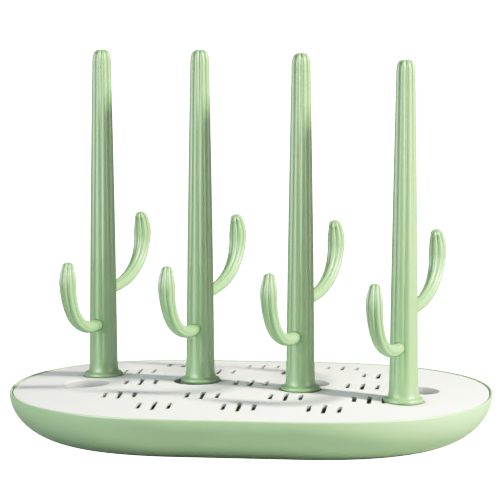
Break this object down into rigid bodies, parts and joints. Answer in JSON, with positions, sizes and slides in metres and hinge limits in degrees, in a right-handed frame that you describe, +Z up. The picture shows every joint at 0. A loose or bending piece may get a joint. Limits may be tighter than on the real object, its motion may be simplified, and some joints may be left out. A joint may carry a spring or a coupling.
{
  "type": "bottle drying rack",
  "caption": "Oval bottle drying rack: a drip tray, a slotted drain plate that lifts out, and upright cactus-shaped posts with curved arms that pull out of the plate.",
  "frame": {"origin": "on the table under the centre of the tray, at the level of the pads' undersides", "axes": "+X along the tray's long axis, +Y to the back, +Z up"},
  "size_m": [0.357, 0.2444, 0.285],
  "materials": {
    "tray_green": "satin moulded polypropylene, pale sage green",
    "cactus_green": "satin moulded polypropylene, sage green",
    "plate_white": "fine matt moulded polypropylene, white",
    "plug_white": "plain moulded plastic, white",
    "pad_rubber": "soft matt thermoplastic rubber, pale grey"
  },
  "bodies": {
    "tray": {"drip_tray": "tray_green", "anti_slip_pad_1": "pad_rubber", "anti_slip_pad_2": "pad_rubber", "anti_slip_pad_3": "pad_rubber", "anti_slip_pad_4": "pad_rubber"},
    "plate": {"drain_plate": "plate_white"},
    "post_1": {"post_trunk_1": "cactus_green", "post_plug_1": "plug_white", "lower_arm_1": "cactus_green", "upper_arm_1": "cactus_green"},
    "post_2": {"post_trunk_2": "cactus_green", "post_plug_2": "plug_white", "lower_arm_2": "cactus_green", "upper_arm_2": "cactus_green"},
    "post_3": {"post_trunk_3": "cactus_green", "post_plug_3": "plug_white", "lower_arm_3": "cactus_green", "upper_arm_3": "cactus_green"},
    "post_4": {"post_trunk_4": "cactus_green", "post_plug_4": "plug_white", "lower_arm_4": "cactus_green", "upper_arm_4": "cactus_green"}
  },
  "joints": [
    {"name": "plate_lift", "type": "slide", "parent": "tray", "child": "plate", "axis": [0, 0, 1], "range_m": [0, 0.06]},
    {"name": "post_1_pull", "type": "slide", "parent": "plate", "child": "post_1", "axis": [0, 0, 1], "range_m": [0, 0.04]},
    {"name": "post_2_pull", "type": "slide", "parent": "plate", "child": "post_2", "axis": [0, 0, 1], "range_m": [0, 0.04]},
    {"name": "post_3_pull", "type": "slide", "parent": "plate", "child": "post_3", "axis": [0, 0, 1], "range_m": [0, 0.04]},
    {"name": "post_4_pull", "type": "slide", "parent": "plate", "child": "post_4", "axis": [0, 0, 1], "range_m": [0, 0.04]}
  ]
}
